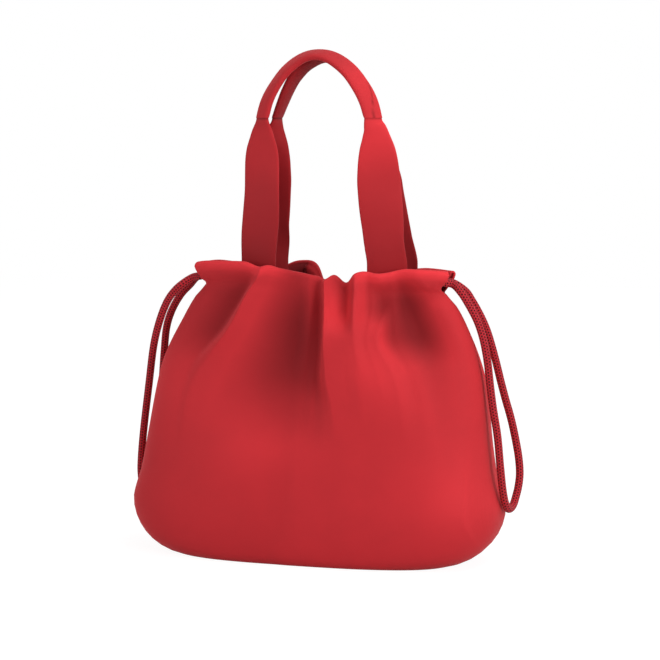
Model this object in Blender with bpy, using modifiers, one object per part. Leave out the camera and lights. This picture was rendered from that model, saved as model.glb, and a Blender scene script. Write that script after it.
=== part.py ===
"""A drawstring tote bag of thick soft cloth, gathered at the mouth, standing on its base.

Metres, +Z up, front towards -Y, origin on the floor under the middle of the base.
"""

import math

import bmesh
import bpy
import numpy as np

OBJECT_NAME = "drawstring_tote_bag"

# Bag body
CLOTH = 0.0018
BODY_HEIGHT = 0.266
BODY_LENGTH = 0.3455
BODY_DEPTH = 0.151
FLAT_LENGTH = 0.247
FLAT_DEPTH = 0.118
CORNER_HEIGHT = 0.050
MOUTH_LENGTH = 0.2395
MOUTH_DEPTH = 0.076
MOUTH_SHIFT = 0.0060
SIDE_PINCH = 0.0085
PINCH_HEIGHT = 0.0095

# Casing round the mouth, and the drawstring in it
CASING_DEPTH = 0.019
CORD_DIAMETER = 0.007
CORD_CLEARANCE = 0.0007
CORD_DROP = 0.0105
BESIDE_CORD = 0.0056
RIM_FOLD_RADIUS = 0.0036
HEM_GAP = 0.0004
CORD_OUT = 0.0025
LEFT_EXIT = (-0.90, 0.0, -0.30)
RIGHT_EXIT = (0.90, 0.0, -0.42)
FACE_GAP = 0.0003

# Handles
HANDLE_RISE = 0.1858
SEAM_RISE = 0.130
HANDLE_CENTRE = 0.0032
SEAM_SPANS = {"front": 0.103, "back": 0.088}
FOOT_SPANS = {"front": 0.120, "back": 0.1255}
FOOT_SHIFT = 0.0102
GRIP_OFFSET = 0.010
STRAP_WIDTH = 0.039
FOOT_WIDTH = 0.035
STRAP_THICKNESS = 0.0028
SEAM_WIDTH = 0.0165
SEAM_THICKNESS = 0.0050
GRIP_WIDTH = 0.0185
GRIP_THICKNESS = 0.0064
GRIP_STEP = 0.0009
STRAP_GAP = 0.0009

# Mesh fineness
PANEL_COLUMNS = 38
SECTION_POINTS = 14
STRAP_RINGS = 13
GRIP_RINGS = 21

SIDES = {"front": -1.0, "back": 1.0}

# Shape of the body by height: share of the height, share of the way from the mouth to the belly
LENGTH_SHARES = [
    (0.17, 1.0), (0.30, 0.84), (0.41, 0.755), (0.53, 0.675), (0.63, 0.575),
    (0.73, 0.405), (0.82, 0.21), (0.88, 0.07), (0.93, 0.0), (1.0, 0.0),
]
DEPTH_SHARES = [
    (0.17, 1.0), (0.30, 0.97), (0.41, 0.88), (0.53, 0.73), (0.63, 0.55),
    (0.73, 0.37), (0.82, 0.22), (0.88, 0.13), (0.93, 0.06), (1.0, 0.0),
]
ROUNDNESS = [(0.0, 2.9), (0.30, 2.7), (0.60, 2.4), (0.80, 2.1), (0.93, 2.0), (1.0, 2.0)]
WALL_SHARES = [0.27, 0.35, 0.43, 0.51, 0.58, 0.65, 0.71, 0.77, 0.83, 0.885]
CORNER_ANGLES = [0.0, 15.0, 30.0, 46.0, 62.0, 78.0, 90.0]

# Folds of each panel, hanging from the rim: where the crest meets the rim, how far it drifts
# sideways for each metre down, the width of its left and right slopes, how far it stands out,
# and how far down it reaches
FOLDS = {
    "front": [
        (-0.0460, -0.46, 0.012, 0.020, 0.0250, 0.130),
        (0.0127, 0.09, 0.009, 0.016, 0.0250, 0.130),
        (0.0335, 0.12, 0.005, 0.005, -0.0060, 0.040),
        (0.0440, 0.10, 0.006, 0.009, 0.0080, 0.060),
        (0.0600, 0.55, 0.012, 0.011, -0.0140, 0.110),
        (0.0880, 0.64, 0.014, 0.010, 0.0280, 0.125),
    ],
    "back": [
        (-0.0763, -0.50, 0.014, 0.014, 0.0140, 0.100),
        (-0.0253, -0.10, 0.010, 0.011, 0.0190, 0.100),
        (0.0417, 0.10, 0.013, 0.012, 0.0150, 0.110),
        (0.0897, 0.45, 0.014, 0.012, 0.0140, 0.100),
    ],
}

# Columns of the mesh that run down a crest or crease: column, which fold, how far beside it.
# They stop drifting at DRIFT_DEPTH below the rim, and are spread evenly again at GUIDED_DEPTH
COLUMN_GUIDES = {
    "front": [
        (8, 0, -0.006), (9, 0, 0.0), (10, 0, 0.006), (16, 1, -0.005), (17, 1, 0.0),
        (18, 1, 0.005), (21, 2, 0.0), (23, 3, 0.0), (30, 5, -0.006), (31, 5, 0.0), (32, 5, 0.006),
    ],
    "back": [
        (6, 0, -0.006), (7, 0, 0.0), (8, 0, 0.006), (14, 1, -0.005), (15, 1, 0.0),
        (16, 1, 0.005), (23, 2, -0.005), (24, 2, 0.0), (25, 2, 0.005), (30, 3, -0.006),
        (31, 3, 0.0), (32, 3, 0.006),
    ],
}
DRIFT_DEPTH = 0.09
GUIDED_DEPTH = 0.13

# Dips of the rim: place along the panel, depth, half width
RIM_DIPS = {
    "front": [
        (-0.1143, 0.003, 0.008), (-0.0470, 0.003, 0.006), (0.0010, 0.007, 0.020),
        (0.0330, 0.009, 0.006), (0.0587, 0.003, 0.009), (0.1257, 0.004, 0.009),
    ],
    "back": [(-0.1143, 0.003, 0.008), (0.0120, 0.019, 0.0155), (0.1257, 0.004, 0.009)],
}
LEAST_CORD_DIP_WIDTH = 0.013

# Crests are rounder and lower at the casing's outer leg than in the plain wall below it,
# and more so at its inner leg. Folds widen by this share for each metre down
OUTER_ROUNDING = 0.25
INNER_ROUNDING = 0.60
CREST_ROUNDING = 0.12
OUTER_RISE = 0.80
INNER_RISE = 0.40
FOLD_SPREAD = 14.0

# Handle arch above the seams: share of the half span, share of the rise over the seam
ARCHES = {
    "front": [(1.0, 0.0), (0.92, 0.25), (0.79, 0.48), (0.57, 0.745), (0.28, 0.94), (0.0, 1.0)],
    "back": [(1.0, 0.0), (0.88, 0.24), (0.76, 0.45), (0.61, 0.65), (0.36, 0.85), (0.0, 0.97)],
}

# Strap from the rim (0) to the seam (1): share of the way out to the foot, and its distance
# from the middle plane as a share of the way from the grip's to the casing's
LEG_SPREAD = [(-0.12, 1.0), (0.0, 1.0), (0.18, 0.75), (0.54, 0.38), (0.78, 0.26), (0.90, 0.16), (1.0, 0.0)]
LEG_SET_BACK = [(-0.12, 1.0), (0.0, 0.95), (0.18, 0.60), (0.54, 0.06), (1.0, 0.0)]

# Turn of the band about its own length in degrees, 0 with its face to the front:
# along a strap from the rim (0) to the seam (1), and along half a grip from the seam to the top
STRAP_TURN = {
    "front": [(0.0, -6.0), (0.18, 6.0), (0.54, 21.0), (0.78, 13.0), (0.90, 16.0), (1.0, 38.0)],
    "back": [(0.0, 0.0), (0.18, -4.0), (0.54, -12.0), (0.78, 10.0), (0.90, 50.0), (1.0, 82.0)],
}
GRIP_TURN = {
    "front": [(0.0, 38.0), (0.35, 50.0), (0.7, 58.0), (1.0, 68.0)],
    "back": [(0.0, 82.0), (0.35, 78.0), (0.7, 72.0), (1.0, 68.0)],
}

# Width of a strap from the rim (0) to the seam (1), between the named widths
STRAP_TAPER = {
    "front": [(0.54, 0.0), (0.68, 0.12), (0.78, 0.30), (0.88, 0.66), (0.95, 0.90), (1.0, 1.0)],
    "back": [(0.54, 0.05), (0.68, 0.28), (0.78, 0.52), (0.88, 0.80), (0.95, 0.94), (1.0, 1.0)],
}

# Free loops of the drawstring, by hand, from near the front run's end round to near the back's
LEFT_LOOP = [
    (-0.1244, -0.0060, 0.2465), (-0.1346, -0.0045, 0.2389), (-0.1434, -0.0020, 0.2288),
    (-0.1503, 0.0000, 0.2154), (-0.1563, 0.0020, 0.1992), (-0.1610, 0.0040, 0.1811),
    (-0.1661, 0.0060, 0.1488), (-0.1692, 0.0070, 0.1287), (-0.1722, 0.0080, 0.1086),
    (-0.1750, 0.0090, 0.0856), (-0.1770, 0.0115, 0.0644), (-0.1768, 0.0180, 0.0464),
    (-0.1745, 0.0270, 0.0385), (-0.1725, 0.0360, 0.0440), (-0.1710, 0.0410, 0.0600),
    (-0.1701, 0.0415, 0.0809), (-0.1683, 0.0390, 0.1102), (-0.1646, 0.0340, 0.1349),
    (-0.1608, 0.0280, 0.1568), (-0.1556, 0.0210, 0.1870), (-0.1528, 0.0180, 0.2006),
    (-0.1475, 0.0145, 0.2142), (-0.1391, 0.0110, 0.2280), (-0.1275, 0.0080, 0.2410),
]
RIGHT_LOOP = [
    (0.1337, -0.0070, 0.2437), (0.1400, -0.0085, 0.2356), (0.1448, -0.0095, 0.2283),
    (0.1515, -0.0110, 0.2158), (0.1567, -0.0120, 0.2002), (0.1602, -0.0120, 0.1817),
    (0.1624, -0.0120, 0.1632), (0.1653, -0.0120, 0.1420), (0.1695, -0.0120, 0.1173),
    (0.1720, -0.0120, 0.0925), (0.1744, -0.0110, 0.0692), (0.1762, -0.0070, 0.0560),
    (0.1780, 0.0010, 0.0500), (0.1798, 0.0090, 0.0525), (0.1818, 0.0150, 0.0624),
    (0.1834, 0.0190, 0.0754), (0.1824, 0.0210, 0.0904), (0.1793, 0.0220, 0.1073),
    (0.1746, 0.0220, 0.1279), (0.1695, 0.0210, 0.1459), (0.1650, 0.0200, 0.1630),
    (0.1603, 0.0180, 0.1829), (0.1532, 0.0150, 0.2081), (0.1450, 0.0120, 0.2265),
    (0.1370, 0.0095, 0.2400), (0.1310, 0.0075, 0.2478),
]
LOOP_POINTS = 48

CORD_RADIUS = CORD_DIAMETER / 2
CASING_THICKNESS = 2 * CLOTH + CORD_DIAMETER + 2 * CORD_CLEARANCE
HEM_THICKNESS = 2 * CLOTH + HEM_GAP
SLOT_HALF = CASING_THICKNESS + 0.5 * CLOTH


def smooth_through(stations, at):
    """Value at a place on a curve through the stations that never overshoots them."""
    x, y = np.array(stations, float).T
    steps = np.diff(y) / np.diff(x)
    before, after = steps[:-1], steps[1:]
    same_way = before * after > 0
    total = np.where(same_way, before + after, 1.0)
    slopes = np.concatenate(([0.0], np.where(same_way, 2 * before * after / total, 0.0), [0.0]))
    at = np.clip(at, x[0], x[-1])
    i = np.clip(np.searchsorted(x, at) - 1, 0, len(x) - 2)
    width = x[i + 1] - x[i]
    t = (at - x[i]) / width
    rise = y[i + 1] - y[i]
    cubic = slopes[i] * t * (1 - t) ** 2 - slopes[i + 1] * t * t * (1 - t)
    return y[i] + rise * t * t * (3 - 2 * t) + width * cubic


def smooth_path(points, count):
    """Evenly spaced points on a smooth curve through the given ones."""
    points = np.array(points, float)
    ends = [2 * points[0] - points[1]], [2 * points[-1] - points[-2]]
    p = np.concatenate((ends[0], points, ends[1]))
    t = np.linspace(0, 1, 24, endpoint=False)[:, None]
    pieces = []
    for a, b, c, d in zip(p, p[1:], p[2:], p[3:]):
        pieces.append(b + 0.5 * t * (c - a + t * (2 * a - 5 * b + 4 * c - d + t * (3 * b - a - 3 * c + d))))
    curve = np.concatenate(pieces + [points[-1:]])
    length = np.concatenate(([0.0], np.cumsum(np.linalg.norm(np.diff(curve, axis=0), axis=1))))
    even = np.linspace(0, length[-1], count)
    return np.stack([np.interp(even, length, curve[:, k]) for k in range(3)], axis=1)


def ease(at, start, end):
    """Rises smoothly from 0 at start to 1 at end."""
    t = np.clip((at - start) / (end - start), 0.0, 1.0)
    return t * t * (3 - 2 * t)


def unit(direction):
    direction = np.array(direction, float)
    return direction / np.linalg.norm(direction)


def half_sizes(height):
    """Half length and half depth of the body's outline at a height."""
    share = height / BODY_HEIGHT
    half_mouth = MOUTH_LENGTH / 2
    half_length = half_mouth + (BODY_LENGTH / 2 - half_mouth) * smooth_through(LENGTH_SHARES, share)
    half_depth = MOUTH_DEPTH / 2 + (BODY_DEPTH - MOUTH_DEPTH) / 2 * smooth_through(DEPTH_SHARES, share)
    from_hem = (height - (BODY_HEIGHT - CASING_DEPTH)) / PINCH_HEIGHT
    half_length -= SIDE_PINCH * math.exp(-from_hem * from_hem)
    return half_length, half_depth


def fold_depth(side, x, below_rim, inner=False):
    """How far the folds of a panel stand out at a place this far below the rim."""
    total = np.zeros_like(x)
    opening = ease(below_rim, 0.7 * CASING_DEPTH, 1.8 * CASING_DEPTH)
    for crest, drift, left, right, height, reach in FOLDS[side]:
        casing_rise = INNER_RISE if inner or height < 0 else OUTER_RISE
        casing_rounding = INNER_ROUNDING if inner or height < 0 else OUTER_ROUNDING
        across = x - (crest + drift * below_rim)
        width = np.where(across < 0, left, right) * (1 + FOLD_SPREAD * below_rim)
        rounding = (casing_rounding + (CREST_ROUNDING - casing_rounding) * opening) * width
        near = (np.sqrt(across**2 + rounding**2) - rounding) / width
        rise = casing_rise + (1 - casing_rise) * opening
        fade = 1 - ease(below_rim, 0.35 * reach, reach)
        total += height * rise * fade * np.exp(-0.5 * near**1.3)
    return total


def rim_dip(side, x, least_width=0.0):
    """How far the rim dips at a place along a panel."""
    total = np.zeros_like(x)
    for place, depth, width in RIM_DIPS[side]:
        total -= depth * np.exp(-0.5 * ((x - place) / max(width, least_width)) ** 2)
    return total


def outline(side, height, opened=0.0, inner=False):
    """One panel's outline at a height, from the left side seam to the right: points and outward
    directions in plan. opened is the half width of the slot at the side seams, and inner asks
    for the softer folds of the casing's inner leg."""
    half_length, half_depth = half_sizes(height)
    roundness = smooth_through(ROUNDNESS, height / BODY_HEIGHT)
    end_shape = 1 / roundness + 0.40 * opened / SLOT_HALF
    s = -np.cos(np.linspace(0, math.pi, 721))
    bulge = (1 - np.abs(s) ** roundness) ** end_shape
    lean = MOUTH_SHIFT * ease(height / BODY_HEIGHT, 0.25, 0.95)
    x = lean + half_length * s
    y = SIDES[side] * (opened + (half_depth - opened) * bulge)
    length = np.concatenate(([0.0], np.cumsum(np.hypot(np.diff(x), np.diff(y)))))
    below_rim = BODY_HEIGHT - height
    at = guided_lengths(side, below_rim, x, length)
    x, y = np.interp(at, length, x), np.interp(at, length, y)
    seam_fade = 1 - np.abs(2 * at / length[-1] - 1) ** 10
    out = plan_normals(side, x, y)
    push = fold_depth(side, x, below_rim, inner) * seam_fade
    x, y = x + out[:, 0] * push, y + out[:, 1] * push
    return np.stack((x, y), axis=1), plan_normals(side, x, y)


def guided_lengths(side, below_rim, x, length):
    """Distance of each mesh column along a panel's outline, so that columns follow the folds."""
    columns, places = [0], [0.0]
    for column, fold, beside in COLUMN_GUIDES[side]:
        crest, drift = FOLDS[side][fold][:2]
        columns.append(column)
        places.append(float(np.interp(crest + drift * min(below_rim, DRIFT_DEPTH) + beside, x, length)))
    columns.append(PANEL_COLUMNS)
    places.append(length[-1])
    guided = np.interp(np.arange(PANEL_COLUMNS + 1), columns, places)
    even = np.linspace(0, length[-1], PANEL_COLUMNS + 1)
    return guided + ease(below_rim, 0.4 * GUIDED_DEPTH, GUIDED_DEPTH) * (even - guided)


def plan_normals(side, x, y):
    tangent = np.stack((np.gradient(x), np.gradient(y)), axis=1)
    tangent /= np.linalg.norm(tangent, axis=1)[:, None]
    return SIDES[side] * np.stack((-tangent[:, 1], tangent[:, 0]), axis=1)


def slot_half_width(height):
    """Half width of the slot at the side seams, where the two ends of the casing part."""
    up = height - (BODY_HEIGHT - CASING_DEPTH)
    least = HEM_THICKNESS + 0.5 * CLOTH
    return least + (SLOT_HALF - least) * ease(up, 0.0, CASING_DEPTH - CORD_DROP - BESIDE_CORD)


def casing_rows(side):
    """Rows of the casing: up the outer leg, over the rim and down the inner leg inside.
    Each step is (height of its outline, share of the way in to the inner leg, rise above it)."""
    rim_level = BODY_HEIGHT - RIM_FOLD_RADIUS
    cord_level = BODY_HEIGHT - CORD_DROP
    hem_level = BODY_HEIGHT - CASING_DEPTH
    over_rim = 2 * RIM_FOLD_RADIUS / CASING_THICKNESS
    steps = [(hem_level, 0.0, 0.0), (cord_level - BESIDE_CORD, 0.0, 0.0), (rim_level, 0.0, 0.0)]
    for angle in (45.0, 90.0, 135.0, 180.0):
        turn = math.radians(angle)
        inset = over_rim * (1 - math.cos(turn)) / 2
        steps.append((rim_level, inset, RIM_FOLD_RADIUS * math.sin(turn)))
    steps.append((cord_level + BESIDE_CORD, 1.0, 0.0))
    steps.append((cord_level - BESIDE_CORD, 1.0, 0.0))
    steps.append((hem_level, 1.0, 0.0))
    rows = []
    for level, inset, above in steps:
        opened = slot_half_width(level)
        points, out = outline(side, level, opened)
        inner, inner_out = outline(side, level, opened, inner=True)
        thickness = CASING_THICKNESS
        if level == hem_level:
            inner, inner_out, thickness = points, out, HEM_THICKNESS
        dip = rim_dip(side, points[:, 0], LEAST_CORD_DIP_WIDTH)
        if level == rim_level:
            dip = rim_dip(side, points[:, 0])
        inside = points + inset * (inner - thickness * inner_out - points)
        rows.append(np.column_stack((inside, level + above + dip)))
    return rows


def wall_rows(side):
    """Rows of the plain wall, from the edge of the flat base up to just under the casing."""
    rows = []
    levels = [CORNER_HEIGHT * (1 - math.cos(math.radians(a))) for a in CORNER_ANGLES]
    levels += [share * BODY_HEIGHT for share in WALL_SHARES]
    levels.append(BODY_HEIGHT - CASING_DEPTH - 0.003)
    for level in levels:
        points, out = outline(side, level)
        down = max(0.0, 1 - level / CORNER_HEIGHT)
        tuck = 1 - math.sqrt(1 - down * down)
        points[:, 0] *= 1 - tuck * (1 - FLAT_LENGTH / BODY_LENGTH)
        points[:, 1] *= 1 - tuck * (1 - FLAT_DEPTH / BODY_DEPTH)
        follow = ease(level, 0.55 * BODY_HEIGHT, BODY_HEIGHT - CASING_DEPTH)
        dip = follow * rim_dip(side, points[:, 0], LEAST_CORD_DIP_WIDTH)
        rows.append(np.column_stack((points, level + dip)))
    return rows


def material(name, colour, roughness, metallic=0.0):
    made = bpy.data.materials.new(name)
    made.use_nodes = True
    shader = made.node_tree.nodes["Principled BSDF"]
    shader.inputs["Base Color"].default_value = (*colour, 1.0)
    shader.inputs["Roughness"].default_value = roughness
    shader.inputs["Metallic"].default_value = metallic
    return made


def add_object(name, mesh, collection, surface):
    mesh.materials.append(surface)
    mesh.shade_smooth()
    mesh.set_sharp_from_angle(angle=math.radians(50))
    obj = bpy.data.objects.new(name, mesh)
    collection.objects.link(obj)
    return obj


def bag_body(collection, surface):
    """The bag: an open sheet from the flat base up the wall, over the rim and down inside the
    casing, given its thickness inwards. The side seams are open slots beside the casing."""
    bm = bmesh.new()
    walls = {side: wall_rows(side) for side in SIDES}
    casings = {side: casing_rows(side) for side in SIDES}
    last = PANEL_COLUMNS
    rings = []
    for front, back in zip(walls["front"], walls["back"]):
        loop = [bm.verts.new(p) for p in front]
        loop += [bm.verts.new(p) for p in back[last - 1 : 0 : -1]]
        rings.append(loop)
    bm.faces.new(reversed(rings[0]))
    around = len(rings[0])
    for low, high in zip(rings, rings[1:]):
        for i in range(around):
            j = (i + 1) % around
            bm.faces.new((low[i], low[j], high[j], high[i]))
    top = rings[-1]
    panels = {"front": top[: last + 1], "back": [top[0]] + top[:last - 1:-1]}
    for side, row in panels.items():
        for points in casings[side]:
            above = [bm.verts.new(p) for p in points]
            for i in range(last):
                face = (row[i], row[i + 1], above[i + 1], above[i])
                bm.faces.new(face if side == "front" else tuple(reversed(face)))
            row = above
    mesh = bpy.data.meshes.new("bag_body")
    bm.to_mesh(mesh)
    bm.free()
    body = add_object("bag_body", mesh, collection, surface)
    thicken = body.modifiers.new("Cloth", "SOLIDIFY")
    thicken.thickness = CLOTH
    thicken.offset = -1.0
    return body


def cord_tube(name, points, collection, surface):
    curve = bpy.data.curves.new(name, "CURVE")
    curve.dimensions = "3D"
    curve.bevel_depth = CORD_RADIUS
    curve.bevel_resolution = 2
    curve.use_fill_caps = True
    spline = curve.splines.new("POLY")
    spline.points.add(len(points) - 1)
    for point, place in zip(spline.points, points):
        point.co = (*place, 1.0)
    curve.materials.append(surface)
    obj = bpy.data.objects.new(name, curve)
    collection.objects.link(obj)
    return obj


def cord_run(side):
    """Route of the drawstring inside one panel's casing, a little proud of both ends."""
    level = BODY_HEIGHT - CORD_DROP
    points, out = outline(side, level, slot_half_width(level), inner=True)
    inside = points - (CLOTH + CORD_CLEARANCE + CORD_RADIUS) * out
    route = np.column_stack((inside, level + rim_dip(side, points[:, 0], LEAST_CORD_DIP_WIDTH)))
    start = route[0] + CORD_OUT * unit(2 * unit(route[0] - route[1]) + unit(LEFT_EXIT))
    finish = route[-1] + CORD_OUT * unit(2 * unit(route[-1] - route[-2]) + unit(RIGHT_EXIT))
    return np.concatenate(([start], route, [finish]))


def cord_loop(run_ends, points):
    """Route of a free loop from the front run's end round to the back run's, a small gap off
    both and square to them. Each run end is its last point and the one before it."""
    (first, first_lead), (last, last_lead) = [
        (end + FACE_GAP * unit(end - before), unit(end - before)) for end, before in run_ends
    ]
    leads = first + CORD_RADIUS * first_lead, last + CORD_RADIUS * last_lead
    route = smooth_path([first, leads[0], *points, leads[1], last], LOOP_POINTS)
    route[1] = first + first_lead * np.linalg.norm(route[1] - first)
    route[-2] = last + last_lead * np.linalg.norm(route[-2] - last)
    return route


def casing_face(side, x, height):
    """Point on the inner face of the casing at a height, and its inward direction in plan."""
    dip = rim_dip(side, np.array([x]), LEAST_CORD_DIP_WIDTH)[0]
    level = min(max(height - dip, BODY_HEIGHT - CORD_DROP), BODY_HEIGHT - RIM_FOLD_RADIUS)
    points, out = outline(side, level, SLOT_HALF, inner=True)
    inner = points - CASING_THICKNESS * out
    order = np.argsort(inner[:, 0])
    at = [np.interp(x, inner[order, 0], inner[order, k]) for k in range(2)]
    normal = -np.array([np.interp(x, inner[order, 0], out[order, k]) for k in range(2)])
    return np.array([at[0], at[1], height]), np.append(normal / np.linalg.norm(normal), 0.0)


def band_section(width, thickness, squareness):
    """Outline of a band's cross-section: across its width, and through its thickness."""
    angles = np.linspace(0, 2 * math.pi, SECTION_POINTS, endpoint=False)
    c, s = np.cos(angles), np.sin(angles)
    across = width / 2 * np.sign(c) * np.abs(c) ** (2 / squareness)
    through = thickness / 2 * np.sign(s) * np.abs(s) ** (2 / squareness)
    return across, through


def turned_section(centre, along, turn, side, section):
    """One ring of a band: the section set square to its path and turned about it."""
    outward = np.cross(along, [0.0, 1.0, 0.0])
    outward /= np.linalg.norm(outward)
    inner = SIDES[side] * np.cross(along, outward)
    angle = math.radians(turn)
    across = math.cos(angle) * outward + math.sin(angle) * inner
    facing = math.sin(angle) * outward - math.cos(angle) * inner
    return centre + np.outer(section[0], across) + np.outer(section[1], facing)


def loft(name, rings, collection, surface):
    """A closed body through rings of points, with both ends filled."""
    bm = bmesh.new()
    loops = [[bm.verts.new(p) for p in ring] for ring in rings]
    for low, high in zip(loops, loops[1:]):
        for i in range(len(low)):
            j = (i + 1) % len(low)
            bm.faces.new((low[i], low[j], high[j], high[i]))
    bm.faces.new(reversed(loops[0]))
    bm.faces.new(loops[-1])
    bmesh.ops.recalc_face_normals(bm, faces=bm.faces)
    mesh = bpy.data.meshes.new(name)
    bm.to_mesh(mesh)
    bm.free()
    return add_object(name, mesh, collection, surface)


def strap(name, side, end, collection, surface):
    """A flat strap from inside the casing up to its seam. end is -1 on the left, 1 on the right."""
    seam_x = HANDLE_CENTRE + end * SEAM_SPANS[side] / 2
    foot_x = FOOT_SHIFT + end * FOOT_SPANS[side] / 2
    foot_share = -(CORD_DROP + CORD_RADIUS) / SEAM_RISE
    shares = np.linspace(foot_share, 1.0, STRAP_RINGS)
    casing_y = abs(casing_face(side, foot_x, BODY_HEIGHT)[0][1]) - STRAP_GAP - STRAP_THICKNESS / 2
    heights = BODY_HEIGHT + shares * SEAM_RISE
    x = seam_x + (foot_x - seam_x) * smooth_through(LEG_SPREAD, shares)
    y = SIDES[side] * (GRIP_OFFSET + (casing_y - GRIP_OFFSET) * smooth_through(LEG_SET_BACK, shares))
    path = np.column_stack((x, y, heights))
    alongs = np.gradient(path, axis=0)
    rings = []
    for share, centre, along in zip(shares, path, alongs):
        taper = smooth_through(STRAP_TAPER[side], share)
        wide = FOOT_WIDTH + (STRAP_WIDTH - FOOT_WIDTH) * ease(share, 0.05, 0.45)
        width = wide + (SEAM_WIDTH - wide) * taper
        thickness = STRAP_THICKNESS + (SEAM_THICKNESS - STRAP_THICKNESS) * taper
        section = band_section(width, thickness, 5.0 - 2.2 * taper)
        if share == 1.0:
            along = np.array([0.0, 0.0, 1.0])
            centre = centre - FACE_GAP / 2 * along
        along = -end * along / np.linalg.norm(along)
        turn = float(smooth_through(STRAP_TURN[side], share))
        ring = turned_section(centre, along, turn, side, section)
        held = 1 - ease(share, 0.02, 0.30)
        if held > 0:
            ring = (1 - held) * ring + held * held_section(side, end, centre, section)
        rings.append(ring)
    return loft(name, rings, collection, surface)


def held_section(side, end, centre, section):
    """The strap's section laid along the inner face of the casing."""
    ring = []
    for across, through in zip(*section):
        inner, normal = casing_face(side, centre[0] + end * across, centre[2])
        ring.append(inner + normal * (STRAP_GAP + STRAP_THICKNESS / 2 - through))
    return np.array(ring)


def grip(name, side, collection, surface):
    """The narrow rolled grip over the top of a handle, between its two cross seams."""
    half_span = SEAM_SPANS[side] / 2
    rise = HANDLE_RISE - SEAM_RISE
    base = BODY_HEIGHT + SEAM_RISE
    half = [(share * half_span, base + up * rise) for share, up in ARCHES[side]]
    y = SIDES[side] * GRIP_OFFSET
    points = [(HANDLE_CENTRE - x, y, z) for x, z in half]
    points += [(HANDLE_CENTRE + x, y, z) for x, z in half[-2::-1]]
    path = smooth_path(points, GRIP_RINGS)
    path[0, 2] += FACE_GAP / 2
    path[-1, 2] += FACE_GAP / 2
    alongs = np.gradient(path, axis=0)
    rings = []
    for i, (centre, along) in enumerate(zip(path, alongs)):
        up = 1 - abs(2 * i / (GRIP_RINGS - 1) - 1)
        filled = ease(up, 0.0, 0.35)
        width = SEAM_WIDTH + GRIP_STEP + (GRIP_WIDTH - SEAM_WIDTH - GRIP_STEP) * filled
        thickness = SEAM_THICKNESS + GRIP_STEP + (GRIP_THICKNESS - SEAM_THICKNESS - GRIP_STEP) * filled
        turn = float(smooth_through(GRIP_TURN[side], up))
        section = band_section(width, thickness, 2.8)
        if i in (0, GRIP_RINGS - 1):
            along = np.array([0.0, 0.0, 1.0 if i == 0 else -1.0])
        rings.append(turned_section(centre, along / np.linalg.norm(along), turn, side, section))
    return loft(name, rings, collection, surface)


def clear_scene():
    for obj in list(bpy.data.objects):
        bpy.data.objects.remove(obj, do_unlink=True)


def main():
    clear_scene()
    collection = bpy.data.collections.new(OBJECT_NAME)
    bpy.context.scene.collection.children.link(collection)
    cloth = material("red cloth", (0.62, 0.028, 0.038), 0.62)
    webbing = material("red strap cloth", (0.62, 0.028, 0.038), 0.60)
    cord = material("red cord", (0.45, 0.015, 0.028), 0.75)
    bag_body(collection, cloth)
    runs = {side: cord_run(side) for side in SIDES}
    for side in SIDES:
        strap(side + "_strap_left", side, -1, collection, webbing)
        strap(side + "_strap_right", side, 1, collection, webbing)
        grip(side + "_grip", side, collection, webbing)
        cord_tube("drawstring_" + side + "_run", runs[side], collection, cord)
    left_loop = cord_loop([runs[side][:2] for side in SIDES], LEFT_LOOP)
    right_loop = cord_loop([runs[side][:-3:-1] for side in SIDES], RIGHT_LOOP)
    cord_tube("drawstring_left_loop", left_loop, collection, cord)
    cord_tube("drawstring_right_loop", right_loop, collection, cord)


main()
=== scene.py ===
import math

import bmesh
import bpy
import numpy as np
from mathutils import Matrix, Vector


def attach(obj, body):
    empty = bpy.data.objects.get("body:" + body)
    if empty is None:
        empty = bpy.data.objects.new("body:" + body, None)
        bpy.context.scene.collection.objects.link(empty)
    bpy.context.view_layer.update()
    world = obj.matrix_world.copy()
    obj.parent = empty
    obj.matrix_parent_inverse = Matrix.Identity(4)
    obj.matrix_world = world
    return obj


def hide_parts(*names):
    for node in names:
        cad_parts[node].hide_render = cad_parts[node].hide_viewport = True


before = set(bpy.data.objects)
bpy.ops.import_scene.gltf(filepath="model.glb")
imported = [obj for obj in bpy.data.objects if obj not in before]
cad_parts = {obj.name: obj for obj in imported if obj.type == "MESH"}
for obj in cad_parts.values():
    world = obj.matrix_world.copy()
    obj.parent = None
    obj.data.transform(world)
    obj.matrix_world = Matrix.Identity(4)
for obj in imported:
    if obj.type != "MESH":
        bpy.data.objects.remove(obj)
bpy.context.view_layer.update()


# Camera, floor and lights. The camera stands a little to the bag's right, about as high as its
# grips, at the photograph's angle. The floor and the background are plain white, and three soft
# lamps light the bag: from the right, fainter from the left, and from above.
CAMERA_AWAY = 1.866
CAMERA_HEIGHT = 0.3967
CAMERA_ROUND = math.radians(17.0)
FOCAL_PIXELS = 2073.0
FRAME_PIXELS = 660.0
HORIZON_ROW = 117.0
AXIS_COLUMN = 317.2

camera_data = bpy.data.cameras.new("photo_camera")
camera_data.sensor_width = 36.0
camera_data.lens = FOCAL_PIXELS / FRAME_PIXELS * camera_data.sensor_width
camera_data.clip_end = 60.0
camera = bpy.data.objects.new("photo_camera", camera_data)
bpy.context.scene.collection.objects.link(camera)
dip = math.atan((FRAME_PIXELS / 2 - HORIZON_ROW) / FOCAL_PIXELS)
heading = CAMERA_ROUND - math.atan((FRAME_PIXELS / 2 - AXIS_COLUMN) / FOCAL_PIXELS)
ahead = Vector((-math.sin(heading) * math.cos(dip), math.cos(heading) * math.cos(dip), -math.sin(dip)))
right = ahead.cross(Vector((0.0, 0.0, 1.0))).normalized()
camera.matrix_world = Matrix((right, right.cross(ahead), -ahead)).transposed().to_4x4()
camera.location = (
    CAMERA_AWAY * math.sin(CAMERA_ROUND),
    -CAMERA_AWAY * math.cos(CAMERA_ROUND),
    CAMERA_HEIGHT,
)
bpy.context.scene.camera = camera
bpy.context.scene.view_settings.view_transform = "Standard"


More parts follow.
